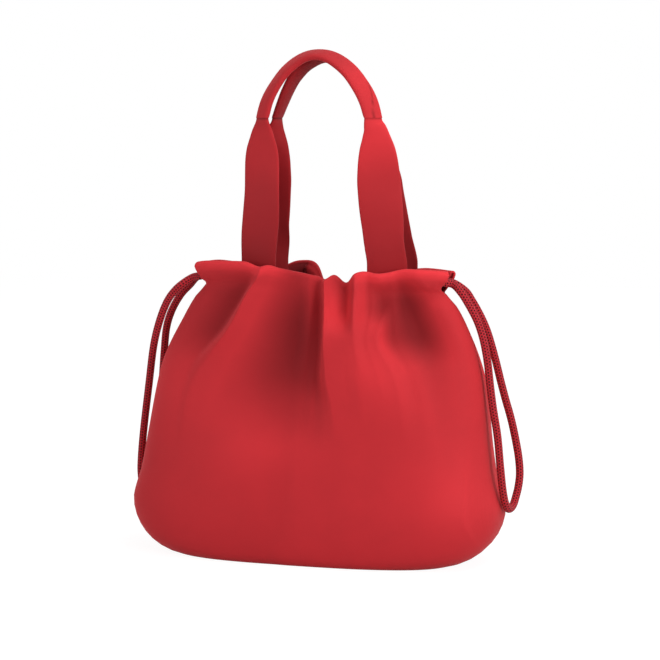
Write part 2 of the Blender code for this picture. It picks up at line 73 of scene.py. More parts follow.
class Value:
    """A socket of a material's nodes that can be used in sums."""

    def __init__(self, surface, socket):
        self.surface = surface
        self.socket = socket

    def output(self, name):
        return Value(self.surface, self.socket.node.outputs[name])

    def sum(self, operation, *terms):
        return self.surface.node("ShaderNodeMath", {"operation": operation}, dict(enumerate(terms)))

    def __add__(self, other):
        return self.sum("ADD", self, other)

    __radd__ = __add__

    def __sub__(self, other):
        return self.sum("SUBTRACT", self, other)

    def __rsub__(self, other):
        return self.sum("SUBTRACT", other, self)

    def __mul__(self, other):
        return self.sum("MULTIPLY", self, other)

    __rmul__ = __mul__

    def __truediv__(self, other):
        return self.sum("DIVIDE", self, other)

    def __rtruediv__(self, other):
        return self.sum("DIVIDE", other, self)

    def __pow__(self, other):
        return self.sum("POWER", self, other)

    def fraction(self):
        return self.sum("FRACT", self)

    def size(self):
        return self.sum("ABSOLUTE", self)

    def wave(self):
        return self.sum("COSINE", self)

    def at_most(self, other):
        return self.sum("MINIMUM", self, other)


class Surface:
    """A material being made, with its Principled shader and one way to add any other node."""

    def __init__(self, name, **constants):
        self.material = bpy.data.materials.new(name)
        self.material.use_nodes = True
        self.tree = self.material.node_tree
        self.shader = self.tree.nodes["Principled BSDF"]
        for label, value in constants.items():
            self.shader.inputs[label.replace("_", " ")].default_value = value

    def put(self, socket, value):
        if isinstance(value, Value):
            self.tree.links.new(value.socket, socket)
        else:
            socket.default_value = value

    def node(self, kind, settings=None, inputs=None):
        made = self.tree.nodes.new(kind)
        for label, value in (settings or {}).items():
            setattr(made, label, value)
        for label, value in (inputs or {}).items():
            self.put(made.inputs[label], value)
        return Value(self, made.outputs[0])

    def set(self, **varying):
        for label, value in varying.items():
            self.put(self.shader.inputs[label.replace("_", " ")], value)

    def blend(self, share, low, high):
        return self.node(
            "ShaderNodeMix", {"data_type": "RGBA"}, {0: share, 6: low, 7: high}
        ).output("Result")

    def relief(self, height, strength, distance):
        return self.node(
            "ShaderNodeBump", inputs={"Height": height, "Strength": strength, "Distance": distance}
        )


WHITE = (1.0, 1.0, 1.0, 1.0)
FLOOR_WIDE = 6.0
FLOOR_GREY = 0.55
FLOOR_GLOW = 0.93
SHADOW_GREY = 0.22
SKY_STRENGTH = 0.25
SKY_AS_SEEN = 1.0
LAMPS_AIM = (0.0, 0.0, 0.2)
floor_surface = Surface("white_studio", Roughness=0.9)
floor_surface.set(Base_Color=(FLOOR_GREY, FLOOR_GREY, FLOOR_GREY, 1.0))
glow = floor_surface.node("ShaderNodeEmission", inputs={"Color": WHITE, "Strength": FLOOR_GLOW})
seen = floor_surface.node("ShaderNodeLightPath")
seen = seen + seen.output("Is Glossy Ray") + seen.output("Is Transmission Ray")
shadow_colour = (SHADOW_GREY, SHADOW_GREY, SHADOW_GREY, 1.0)
dim = floor_surface.node("ShaderNodeBsdfDiffuse", inputs={"Color": shadow_colour})
lit = floor_surface.node("ShaderNodeAddShader", inputs={0: dim, 1: glow})
plain = Value(floor_surface, floor_surface.shader.outputs[0])
chosen = floor_surface.node("ShaderNodeMixShader", inputs={0: seen.at_most(1.0), 1: plain, 2: lit})
floor_surface.put(floor_surface.tree.nodes["Material Output"].inputs["Surface"], chosen)
half = FLOOR_WIDE / 2
floor_corners = [(-half, -half, 0), (half, -half, 0), (half, half, 0), (-half, half, 0)]
floor_mesh = bpy.data.meshes.new("studio_floor")
floor_mesh.from_pydata(floor_corners, [], [(0, 1, 2, 3)])
floor_mesh.materials.append(floor_surface.material)
floor = bpy.data.objects.new("studio_floor", floor_mesh)
bpy.context.scene.collection.objects.link(floor)

world = bpy.data.worlds.new("studio_light")
bpy.context.scene.world = world
world.use_nodes = True
sky = world.node_tree.nodes
paths = sky.new("ShaderNodeLightPath")
strength = sky.new("ShaderNodeMapRange")
strength.inputs["To Min"].default_value = SKY_STRENGTH
strength.inputs["To Max"].default_value = SKY_AS_SEEN
sky["Background"].inputs["Color"].default_value = WHITE
direct = paths.outputs["Is Camera Ray"]
for label in ("Is Glossy Ray", "Is Transmission Ray"):
    most = sky.new("ShaderNodeMath")
    most.operation = "MAXIMUM"
    world.node_tree.links.new(direct, most.inputs[0])
    world.node_tree.links.new(paths.outputs[label], most.inputs[1])
    direct = most.outputs[0]
world.node_tree.links.new(direct, strength.inputs["Value"])
world.node_tree.links.new(strength.outputs["Result"], sky["Background"].inputs["Strength"])

for name, place, across, power in (
    ("right_lamp", (2.05, -1.40, 0.75), 1.0, 27.0),
    ("left_lamp", (-1.90, -1.60, 0.55), 1.3, 14.0),
    ("top_lamp", (0.90, -0.10, 2.52), 1.3, 26.0),
):
    lamp_data = bpy.data.lights.new(name, "AREA")
    lamp_data.size = across
    lamp_data.energy = power
    lamp = bpy.data.objects.new(name, lamp_data)
    lamp.location = place
    lamp.rotation_euler = (Vector(LAMPS_AIM) - Vector(place)).to_track_quat("-Z", "Y").to_euler()
    bpy.context.scene.collection.objects.link(lamp)


# Bag body: soft knitted cloth about as thick as a wetsuit's, cut in a front and a back panel,
# sewn up both sides and rounded at the base. Its top is turned over into a casing, gathered on
# the drawstring, so that folds hang from the rim and fade into the full belly below.
CLOTH = 0.0018
BODY_HEIGHT = 0.266
BODY_LENGTH = 0.3455
BODY_DEPTH = 0.151
FLAT_LENGTH = 0.247
FLAT_DEPTH = 0.118
CORNER_HEIGHT = 0.050
MOUTH_LENGTH = 0.2395
MOUTH_DEPTH = 0.076
MOUTH_SHIFT = 0.0060
SIDE_PINCH = 0.0085
PINCH_HEIGHT = 0.0095
CASING_DEPTH = 0.019
CORD_DIAMETER = 0.007
CORD_CLEARANCE = 0.0007
CORD_DROP = 0.0105
BESIDE_CORD = 0.0056
RIM_FOLD_RADIUS = 0.0036
HEM_GAP = 0.0004
CORD_RADIUS = CORD_DIAMETER / 2
CASING_THICKNESS = 2 * CLOTH + CORD_DIAMETER + 2 * CORD_CLEARANCE
HEM_THICKNESS = 2 * CLOTH + HEM_GAP
SLOT_HALF = CASING_THICKNESS + 0.5 * CLOTH
SIDES = {"front": -1.0, "back": 1.0}
PANEL_WIDTH = 0.42

LENGTH_SHARES = [
    (0.17, 1.0), (0.30, 0.84), (0.41, 0.755), (0.53, 0.675), (0.63, 0.575),
    (0.73, 0.405), (0.82, 0.21), (0.88, 0.07), (0.93, 0.0), (1.0, 0.0),
]
DEPTH_SHARES = [
    (0.17, 1.0), (0.30, 0.97), (0.41, 0.88), (0.53, 0.73), (0.63, 0.55),
    (0.73, 0.37), (0.82, 0.22), (0.88, 0.13), (0.93, 0.06), (1.0, 0.0),
]
ROUNDNESS = [(0.0, 2.9), (0.30, 2.7), (0.60, 2.4), (0.80, 2.1), (0.93, 2.0), (1.0, 2.0)]

# Valleys and crests of the gathers in turn, from left to right. Each is a line down the panel: its
# place across and how far it stands out (both in millimetres) at each of these depths below the
# rim, and how sharp it is
PLEAT_DEPTHS = (0.0, 0.031, 0.057, 0.092, 0.128, 0.170)
PLEATS = {
    "front": [
        ((-53, -67, -84, -108, -116, -118), (0, -9, -9, -1, 0, 0), 0.0),
        ((-41, -54.5, -67, -93, -106, -110), (4, 7, 7, 3, 1, 0), 0.6),
        ((-12, -8, -8, -9, -9, -10), (-4, -10.5, -13, -12, -6, -1), 0.0),
        ((4, 4.5, 4.5, 4, 4, 4), (-2, -6, -9, -10, -5, 0), 0.3),
        ((12, 13.5, 13.5, 14, 14, 14), (-4, -8.5, -9.5, -8, -4, 0), 0.0),
        ((18, 20.6, 21.5, 26, 36, 42), (5, 9, 10, 6, 2, 0), 1.0),
        ((34.5, 37.5, 39, 43, 48, 50), (-6, -3, 9, 6, 2, 0), 0.0),
        ((46, 46.5, 49, 56, 62, 66), (5, 9, 9, 7, 3, 0), 0.25),
        ((56, 60, 58, 70, 80, 84), (-1, -4, 5, 6, 3, 0), 0.0),
        ((66, 71, 66, 82, 92, 97), (2, -9.5, 4, 5, 3, 0), 0.0),
        ((74, 80, 80, 100, 110, 115), (1, -9, -9, 0, 1, 0), 0.0),
        ((82, 92, 103, 118, 128, 132), (0, -13.5, -13.5, -3, -1, 0), 0.0),
        ((101, 122, 135, 147, 151, 153), (4, 5.5, 6, 3, 1, 0), 0.0),
    ],
    "back": [
        ((-96, -106, -118, -128, -130, -132), (0, -2, -2, 0, 0, 0), 0.0),
        ((-76, -90, -102, -115, -118, -120), (5, 9, 8, 3, 1, 0), 0.5),
        ((-52, -60, -66, -74, -78, -80), (0, -5, -5, -2, 0, 0), 0.0),
        ((-20, -22, -22, -24, -26, -28), (7, 11, 10, 5, 1, 0), 0.6),
        ((2, 4, 6, 9, 10, 11), (-3, -7, -7, -3, 0, 0), 0.0),
        ((41, 44, 47, 51, 54, 56), (5, 11, 10, 5, 1, 0), 0.6),
        ((66, 71, 77, 84, 88, 90), (0, -5, -5, -2, 0, 0), 0.0),
        ((88, 104, 116, 131, 135, 137), (4, 9, 8, 4, 1, 0), 0.3),
    ],
}
# Soft swells of the full cloth, each with a painted highlight on it, and those that stand out 0 are only
# painted highlights: place across, height, how far they stand out and their reach
SWELLS = {
    "front": [
        (-0.046, 0.104, 0.0045, 0.038), (0.142, 0.062, 0.0050, 0.036), (0.068, 0.172, 0.0030, 0.030),
        (0.030, 0.234, 0.0, 0.016), (-0.135, 0.156, 0.0, 0.040),
    ],
    "back": [(0.052, 0.110, 0.0045, 0.038), (-0.110, 0.075, 0.0045, 0.036)],
}
# Painted shade and highlight on the cloth: painted shade deeper in the valleys of the folds and inside the
# casing, painted highlights on swells and along the rolled rim
PAINTED_SHADE_REACH = 0.0018
PAINTED_SHADE_DEPTH = 0.0125
PAINTED_SHADE_STRENGTH = 0.75
SWELL_PAINTED_HIGHLIGHT = 0.32
RIM_PAINTED_HIGHLIGHT = 0.85
BACK_RIM_HIGHLIGHT_SHARE = 0.6
HIGHLIGHT_GAP_AT = 0.010
HIGHLIGHT_GAP_REACH = (0.020, 0.050)
RIM_HIGHLIGHT_BAND = 0.008
# Painted shade inside the casing along each panel, with a dark painted pocket and a painted highlight at
# the back's rolled tube: place across and amount
INSIDE_PAINTED_SHADE = {
    "front": [(-0.12, 0.45), (0.12, 0.45)],
    "back": [
        (-0.044, 0.45), (-0.037, 1.10), (-0.022, 1.25), (-0.017, 0.10), (-0.008, -0.10), (0.006, 0.45),
    ],
}
INSIDE_FROM = 0.45
INSIDE_TO = {"front": 1.0, "back": 0.62}
# Line of the rim: place across and height over the level rim, in millimetres
RIM_LINE = {
    "front": [
        (-117, -3.0), (-112, -0.6), (-98, 1.2), (-60, 2.0), (-44, -2.5), (-36, -0.2), (-26, -3.0),
        (-15, -5.1), (5, -8.4), (12, -9.9), (17.5, -13.0),
        (25, -6.9), (30, -11.3), (34.2, -17.0), (38.5, -13.0),
        (46, -5.5), (52, -4.3), (64, -6.4), (73, -5.4), (83, -3.0), (89, -2.1), (100, -2.4),
        (118, -3.6), (124, -4.8),
    ],
    "back": [
        (-117, -3.4), (-112, -1.6), (-100, 0.0), (-84, -2.0), (-50, -5.5), (-40, -5.0), (-34, -1.8),
        (-27, -0.5), (-19, -0.5), (-13, -2.0), (-8, -7.0),
        (-4, -18.0), (1, -23.5), (28, -23.5), (45, -14.0),
        (65, -7.0), (87, -5.2), (96, -4.4), (107, -4.6), (124, -5.4),
    ],
}
HEM_SOFTENING = 0.014
RIM_SOFTENING = 0.0012
INNER_RIM_SOFTENING = 0.004
INNER_SOFTENING = {"front": 0.010, "back": 0.0035}
INNER_RISE = {"front": 0.45, "back": 1.0}
INNER_EVENING = 0.0015
COLUMN_BLEND = 9
SWELL_BLEND = 16
LEFT_FULLNESS = 0.0026
LEFT_FULL_AT = 0.186
LEFT_FULL_REACH = 0.032
LEFT_FULL_FROM = 0.3
LEANS = (0.25, 0.95)
SLOT_ROUNDING = 0.40
SHARP_UNTIL = (0.055, 0.100)
FOLLOWS_RIM_FROM = 0.55
UNDER_CASING = 0.002
OUTLINE_POINTS = 1441
RIM_SPAN = (-0.13, 0.14)
RIM_SAMPLES = 541
CORNER_ROWS = 10
WALL_ROWS = 40
OUTER_LEG_ROWS = 6
ROLL_ROWS = 10
INNER_LEG_ROWS = 4
ROLL_START = 18.0
PANEL_COLUMNS = 260
OUTER_CORD_ROW = 3
INNER_CORD_ROW = 17


def smooth_through(stations, at):
    """Value at a place on a curve through the stations that never overshoots them."""
    x, y = np.array(stations, float).T
    steps = np.diff(y) / np.diff(x)
    before, after = steps[:-1], steps[1:]
    same_way = before * after > 0
    total = np.where(same_way, before + after, 1.0)
    slopes = np.concatenate(([0.0], np.where(same_way, 2 * before * after / total, 0.0), [0.0]))
    at = np.clip(at, x[0], x[-1])
    i = np.clip(np.searchsorted(x, at) - 1, 0, len(x) - 2)
    width = x[i + 1] - x[i]
    t = (at - x[i]) / width
    rise = y[i + 1] - y[i]
    cubic = slopes[i] * t * (1 - t) ** 2 - slopes[i + 1] * t * t * (1 - t)
    return y[i] + rise * t * t * (3 - 2 * t) + width * cubic


def ease(at, start, end):
    """Rises smoothly from 0 at start to 1 at end."""
    t = np.clip((at - start) / (end - start), 0.0, 1.0)
    return t * t * (3 - 2 * t)


def half_sizes(height):
    """Half length and half depth of the body's outline at a height."""
    share = height / BODY_HEIGHT
    half_mouth = MOUTH_LENGTH / 2
    half_length = half_mouth + (BODY_LENGTH / 2 - half_mouth) * smooth_through(LENGTH_SHARES, share)
    half_depth = MOUTH_DEPTH / 2 + (BODY_DEPTH - MOUTH_DEPTH) / 2 * smooth_through(DEPTH_SHARES, share)
    from_hem = (height - (BODY_HEIGHT - CASING_DEPTH)) / PINCH_HEIGHT
    half_length -= SIDE_PINCH * math.exp(-from_hem * from_hem)
    return half_length, half_depth


def pleats_at(side, below_rim):
    """Place across and rise of each valley and crest of a panel at a depth below the rim."""
    lines = [[smooth_through(list(zip(PLEAT_DEPTHS, values)), below_rim) for values in line[:2]]
             for line in PLEATS[side]]
    return np.array(lines).T / 1000


def pleat_columns(side):
    """The mesh column that follows each valley and crest, spread by the cloth between them."""
    half_length = half_sizes(BODY_HEIGHT - PLEAT_DEPTHS[1])[0]
    across, rise = pleats_at(side, PLEAT_DEPTHS[1])
    across = np.concatenate(([-half_length], across, [half_length]))
    rise = np.concatenate(([0.0], rise, [0.0]))
    cloth = np.concatenate(([0.0], np.cumsum(np.hypot(np.diff(across), np.diff(rise)))))
    return cloth / cloth[-1] * PANEL_COLUMNS


def crested(columns, rise, sharpness, at):
    """Rise of the cloth between its valleys, which are round, and its crests, which may be sharp."""
    i = np.clip(np.searchsorted(columns, at) - 1, 0, len(columns) - 2)
    t = (at - columns[i]) / (columns[i + 1] - columns[i])
    upwards = rise[i + 1] > rise[i]
    low, high = np.minimum(rise[i], rise[i + 1]), np.maximum(rise[i], rise[i + 1])
    u = np.where(upwards, t, 1 - t)
    sharp = np.where(upwards, sharpness[i + 1], sharpness[i])
    return low + (high - low) * (sharp * u * u + (1 - sharp) * u * u * (3 - 2 * u))


COLUMNS = {side: pleat_columns(side) for side in SIDES}


def plan_normals(side, x, y):
    tangent = np.stack((np.gradient(x), np.gradient(y)), axis=1)
    tangent /= np.linalg.norm(tangent, axis=1)[:, None]
    return SIDES[side] * np.stack((-tangent[:, 1], tangent[:, 0]), axis=1)


def softened(values, at, reach):
    """The values averaged over a reach to either side along the panel."""
    weights = np.exp(-0.5 * ((at[:, None] - at[None, :]) / reach) ** 2)
    weights *= np.gradient(at)[None, :]
    return weights @ values / weights.sum(axis=1)


def outline(side, height, opened=0.0, inner=False):
    """One panel's outline at a height, from the left side seam to the right: points, outward
    directions in plan, and how much shade is painted on each point, from 0 to 1 the deeper it lies
    in a valley, and below 0 for the painted highlight on a swell. opened is the half width of the
    slot at the side seams, and inner asks for the softer folds of the casing's inner leg."""
    half_length, half_depth = half_sizes(height)
    roundness = smooth_through(ROUNDNESS, height / BODY_HEIGHT)
    end_shape = 1 / roundness + SLOT_ROUNDING * opened / SLOT_HALF
    s = -np.cos(np.linspace(0, math.pi, OUTLINE_POINTS))
    bulge = (1 - np.abs(s) ** roundness) ** end_shape
    lean = MOUTH_SHIFT * ease(height / BODY_HEIGHT, *LEANS)
    full = LEFT_FULLNESS * math.exp(-(((height - LEFT_FULL_AT) / LEFT_FULL_REACH) ** 2))
    x = lean + half_length * s - full * ease(-s, LEFT_FULL_FROM, 1.0)
    y = SIDES[side] * (opened + (half_depth - opened) * bulge)
    length = np.concatenate(([0.0], np.cumsum(np.hypot(np.diff(x), np.diff(y)))))
    across, rise = pleats_at(side, BODY_HEIGHT - height)
    places = np.concatenate(([0.0], np.interp(across, x, length), [length[-1]]))
    columns = np.arange(PANEL_COLUMNS + 1)
    even = columns / PANEL_COLUMNS * length[-1]
    apart = np.interp(columns, COLUMNS[side], places) - even
    from_end = np.minimum(columns, PANEL_COLUMNS - columns)
    followed = ease(from_end, 0, COLUMN_BLEND) * ease(height, 0.0, CORNER_HEIGHT)
    at = even + followed * softened(apart, columns * 1.0, COLUMN_BLEND / 3)
    fade = 1 - ease(BODY_HEIGHT - height, *SHARP_UNTIL)
    sharpness = fade * np.array([0.0] + [line[2] for line in PLEATS[side]] + [0.0])
    push = crested(COLUMNS[side], np.concatenate(([0.0], rise, [0.0])), sharpness, columns)
    # Painted shade: the deeper a point lies in a valley of the folds, the darker it is painted
    painted_shading = np.clip(-softened(push, at, PAINTED_SHADE_REACH) / PAINTED_SHADE_DEPTH, 0.0, 1.0)
    if inner:
        loose = INNER_RISE[side] * softened(push, at, INNER_SOFTENING[side])
        push = softened(np.minimum(loose, push + CORD_CLEARANCE), at, INNER_EVENING)
    out = plan_normals(side, x, y)
    out = np.stack([np.interp(at, length, out[:, k]) for k in range(2)], axis=1)
    out /= np.linalg.norm(out, axis=1)[:, None]
    across = np.interp(at, length, x)
    for place, level, stands, reach in SWELLS[side]:
        away = ((across - place) ** 2 + (height - level) ** 2) / (reach * reach)
        full = np.exp(-away) * ease(from_end, 0, SWELL_BLEND)
        push = push + stands * full
        # A painted highlight on each swell
        painted_shading = painted_shading - SWELL_PAINTED_HIGHLIGHT * full
    x = across + out[:, 0] * push
    y = np.interp(at, length, y) + out[:, 1] * push
    return np.stack((x, y), axis=1), plan_normals(side, x, y), painted_shading


def rim_rise(side, x, softness):
    """How far the rim's line stands over its usual level, softened along the panel."""
    fine = np.linspace(*RIM_SPAN, RIM_SAMPLES)
    if (side, softness) not in rim_lines:
        places, rises = np.array(RIM_LINE[side]).T / 1000
        line = smooth_through(list(zip(places, rises)), fine)
        rim_lines[side, softness] = softened(line, fine, softness)
    return np.interp(x, fine, rim_lines[side, softness])


rim_lines = {}


def slot_half_width(height):
    """Half width of the slot at the side seams, where the two ends of the casing part."""
    up = height - (BODY_HEIGHT - CASING_DEPTH)
    least = HEM_THICKNESS + 0.5 * CLOTH
    return least + (SLOT_HALF - least) * ease(up, 0.0, CASING_DEPTH - CORD_DROP - BESIDE_CORD)


def casing_rows(side):
    """Rows of the casing: up the outer leg, over the rim and down the inner leg inside.
    Each step is (height of its outline, share of the way in to the inner leg, rise above it)."""
    rim_level = BODY_HEIGHT - RIM_FOLD_RADIUS
    cord_level = BODY_HEIGHT - CORD_DROP
    hem_level = BODY_HEIGHT - CASING_DEPTH
    over_rim = 2 * RIM_FOLD_RADIUS / CASING_THICKNESS
    steps = [(level, 0.0, 0.0) for level in np.linspace(hem_level, rim_level, OUTER_LEG_ROWS)]
    for angle in np.linspace(ROLL_START, 180.0, ROLL_ROWS):
        turn = math.radians(angle)
        inset = over_rim * (1 - math.cos(turn)) / 2
        steps.append((rim_level, inset, RIM_FOLD_RADIUS * math.sin(turn)))
    for level in np.linspace(cord_level + BESIDE_CORD, cord_level - BESIDE_CORD, INNER_LEG_ROWS):
        steps.append((level, 1.0, 0.0))
    steps.append((hem_level, 1.0, 0.0))
    rows = []
    for level, inset, above in steps:
        opened = slot_half_width(level)
        points, _, painted_shading = outline(side, level, opened)
        inner, inner_out, _ = outline(side, level, opened, inner=True)
        thickness = HEM_THICKNESS if level == hem_level and inset == 1.0 else CASING_THICKNESS
        inside = points + inset * (inner - thickness * inner_out - points)
        topness = ease(level, hem_level, rim_level)
        softness = RIM_SOFTENING + INNER_RIM_SOFTENING * round(inset, 2)
        rise = topness * rim_rise(side, inside[:, 0], softness)
        rise = rise + (1 - topness) * rim_rise(side, inside[:, 0], HEM_SOFTENING)
        # Painted shade of the valleys on the outer leg, and painted shade inside the casing
        within = ease(inset, INSIDE_FROM, INSIDE_TO[side])
        tone = painted_shading * (1 - inset) + smooth_through(INSIDE_PAINTED_SHADE[side], inside[:, 0]) * within
        # Painted highlight along the top of the rolled rim: on the back all along, on the front away from
        # its middle
        rolled = ease(level, rim_level - RIM_HIGHLIGHT_BAND, rim_level) * max(0.0, 1 - inset / over_rim)
        highlight_share = BACK_RIM_HIGHLIGHT_SHARE
        if side == "front":
            highlight_share = ease(np.abs(points[:, 0] - HIGHLIGHT_GAP_AT), *HIGHLIGHT_GAP_REACH)
        tone -= RIM_PAINTED_HIGHLIGHT * rolled * highlight_share
        rows.append(np.column_stack((inside, level + above + rise, tone)))
    return rows


def wall_rows(side):
    """Rows of the plain wall, from the edge of the flat base up to just under the casing."""
    rows = []
    angles = np.linspace(0, math.pi / 2, CORNER_ROWS)
    levels = [CORNER_HEIGHT * (1 - math.cos(angle)) for angle in angles]
    top = BODY_HEIGHT - CASING_DEPTH - UNDER_CASING
    levels += list(np.linspace(CORNER_HEIGHT, top, WALL_ROWS)[1:])
    for level in levels:
        points, _, painted_shading = outline(side, level)
        down = max(0.0, 1 - level / CORNER_HEIGHT)
        tuck = 1 - math.sqrt(1 - down * down)
        points[:, 0] *= 1 - tuck * (1 - FLAT_LENGTH / BODY_LENGTH)
        points[:, 1] *= 1 - tuck * (1 - FLAT_DEPTH / BODY_DEPTH)
        follow = ease(level, FOLLOWS_RIM_FROM * BODY_HEIGHT, BODY_HEIGHT - CASING_DEPTH)
        rise = follow * rim_rise(side, points[:, 0], HEM_SOFTENING)
        rows.append(np.column_stack((points, level + rise, painted_shading)))
    return rows


def panel_mesh(name, grids, map_name):
    """A mesh of a front and a back grid of points, each with coordinates in metres as its UV map
    and a fourth number for each point, the shade painted on it, which grows with how deep in a
    fold it lies, and below 0 a painted highlight. One flat face between their lowest rows is the base."""
    points, faces, places = [], [], []
    for rows, coordinates, outwards in grids:
        rows, coordinates = np.array(rows), np.array(coordinates)
        start = sum(len(block) for block in points)
        count, wide = rows.shape[:2]
        points.append(rows.reshape(-1, 4))
        index = start + np.arange(count * wide).reshape(count, wide)
        quads = np.stack((index[:-1, :-1], index[:-1, 1:], index[1:, 1:], index[1:, :-1]), axis=-1)
        if not outwards:
            quads = quads[:, :, ::-1]
        faces.append(quads.reshape(-1, 4))
        places.append(coordinates.reshape(-1, 2))
    points, faces, places = (np.concatenate(block) for block in (points, faces, places))
    wide = len(grids[0][0][0])
    back_start = len(grids[0][0]) * wide
    base = np.concatenate((np.arange(back_start, back_start + wide), np.arange(wide)[::-1]))
    mesh = bpy.data.meshes.new(name)
    mesh.from_pydata(points[:, :3].tolist(), [], faces.tolist() + [base.tolist()])
    depth = mesh.attributes.new("painted_shading", "FLOAT", "POINT")
    depth.data.foreach_set("value", points[:, 3].astype(np.float32))
    layer = mesh.uv_layers.new(name=map_name)
    corners = np.concatenate((places[faces.reshape(-1)], points[base, :2]))
    layer.data.foreach_set("uv", corners.astype(np.float32).reshape(-1))
    return mesh


def finished(obj):
    """The object with its modifiers made part of its mesh."""
    graph = bpy.context.evaluated_depsgraph_get()
    mesh = bpy.data.meshes.new_from_object(obj.evaluated_get(graph), depsgraph=graph)
    mesh.name = obj.name
    obj.modifiers.clear()
    obj.data = mesh
    return obj


# Shares of the cloth's colour: darker and paler dye, then the painted shade colour and the painted
# highlight colour
DYE_AND_PAINTED_LIGHT_SHARES = (0.86, 1.07, 0.22, 1.5)
STITCH = 0.0009
BODY_RED = (0.680, 0.033, 0.042)
PANEL_JOIN = 0.000002


def cloth_surface(name, colour, map_name, stitch, roughness):
    """Smooth knitted cloth: fine wales of small V stitches, a little unevenness of dye and nap.
    The attribute painted_shading paints shade on it towards 1 and a paler painted highlight below 0."""
    surface = Surface(name, Sheen_Weight=0.04, Sheen_Roughness=0.5, Specular_IOR_Level=0.10)
    place = surface.node("ShaderNodeUVMap", {"uv_map": map_name})
    along = surface.node("ShaderNodeSeparateXYZ", inputs={0: place})
    across_wale = (along / stitch).fraction() - 0.5
    course = along.output("Y") / (stitch * 0.8) + across_wale.size()
    loops = (course * (2 * math.pi)).wave() * 0.5 + 0.5
    rib = 1 - (across_wale * 2).size() ** 3.0
    knit = loops * rib
    spot = surface.node("ShaderNodeTexCoord").output("Object")
    blotch = surface.node("ShaderNodeTexNoise", inputs={"Vector": spot, "Scale": 38.0, "Detail": 3.0})
    fuzz = surface.node("ShaderNodeTexNoise", inputs={"Vector": spot, "Scale": 900.0, "Detail": 2.0})
    # deep and pale are the dye's uneven tone; shade is the painted shade colour and the last is the painted
    # highlight colour
    deep, pale, shade, painted_highlight = [
        tuple(min(1.0, share * channel) for channel in colour) + (1.0,) for share in DYE_AND_PAINTED_LIGHT_SHARES
    ]
    tone = (blotch * 0.55 + fuzz * 0.25 + knit * 0.20).at_most(1.0)
    painted_shading = surface.node("ShaderNodeAttribute", {"attribute_name": "painted_shading"}).output("Fac")
    # Painted highlight where painted_shading is below 0, then painted shade where it is above 0
    cloth = surface.blend(painted_shading * -1.0, surface.blend(tone, deep, pale), painted_highlight)
    surface.set(
        Base_Color=surface.blend(painted_shading * PAINTED_SHADE_STRENGTH, cloth, shade),
        Roughness=roughness + (blotch - 0.5) * 0.10,
        Normal=surface.relief(knit * 0.7 + fuzz * 0.3, 0.35, 0.00012),
    )
    return surface.material


body_material = cloth_surface("red_knit_cloth", BODY_RED, "Cloth", STITCH, 0.66)
body_grids = []
casing_at = {}
for side in SIDES:
    casing = casing_rows(side)
    casing_at[side] = casing[OUTER_CORD_ROW][:, :3], casing[INNER_CORD_ROW][:, :3]
    rows = wall_rows(side) + casing
    stacked = np.array(rows)[:, :, :3]
    down_cloth = np.concatenate(
        ([np.zeros(PANEL_COLUMNS + 1)], np.cumsum(np.linalg.norm(np.diff(stacked, axis=0), axis=2), axis=0))
    )
    across_cloth = np.tile(np.linspace(0, PANEL_WIDTH, PANEL_COLUMNS + 1), (len(rows), 1))
    body_grids.append((rows, np.stack((across_cloth, down_cloth), axis=-1), side == "front"))
body_mesh = panel_mesh("bag_body_cloth", body_grids, "Cloth")
body = bpy.data.objects.new("bag_body_cloth", body_mesh)
bpy.context.scene.collection.objects.link(body)
weld = body.modifiers.new("Join panels", "WELD")
weld.merge_threshold = PANEL_JOIN
thicken = body.modifiers.new("Cloth thickness", "SOLIDIFY")
thicken.thickness = CLOTH
thicken.offset = -1.0
finished(body)
body.data.materials.append(body_material)
body.data.shade_smooth()
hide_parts("bag_body")
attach(body, "root")


# Drawstring: one soft knitted cord, a round tube of yarn with a row of open stitches that show as
# small dark dots. It runs round the mouth inside the casing and hangs out at each side seam as a
# long loop, whose two strands go back into the casing.
CORD_OUT_LEFT = {"front": (-0.10901, -0.00690, 0.25223), "back": (-0.10794, 0.00732, 0.25225)}
CORD_OUT_RIGHT = {"front": (0.11952, -0.00753, 0.25114), "back": (0.12000, 0.00727, 0.25113)}
LEAD_LEFT = {"front": (-0.9130, 0.3687, -0.1748), "back": (-0.8550, -0.4919, -0.1644)}
LEAD_RIGHT = {"front": (0.8163, 0.5381, -0.2100), "back": (0.8494, -0.4823, -0.2143)}
FACE_GAP = 0.0003
LEFT_LOOP = [
    (-0.1244, -0.0060, 0.2465), (-0.1346, -0.0045, 0.2389), (-0.1434, -0.0020, 0.2288),
    (-0.1503, 0.0000, 0.2154), (-0.1563, 0.0020, 0.1992), (-0.1610, 0.0040, 0.1811),
    (-0.1661, 0.0060, 0.1488), (-0.1692, 0.0070, 0.1287), (-0.1722, 0.0080, 0.1086),
    (-0.1750, 0.0090, 0.0856), (-0.1770, 0.0115, 0.0644), (-0.1768, 0.0180, 0.0464),
    (-0.1745, 0.0270, 0.0385), (-0.1725, 0.0360, 0.0440), (-0.1710, 0.0410, 0.0600),
    (-0.1701, 0.0415, 0.0809), (-0.1683, 0.0390, 0.1102), (-0.1646, 0.0340, 0.1349),
    (-0.1608, 0.0280, 0.1568), (-0.1556, 0.0210, 0.1870), (-0.1528, 0.0180, 0.2006),
    (-0.1475, 0.0145, 0.2142), (-0.1391, 0.0110, 0.2280), (-0.1275, 0.0080, 0.2410),
]
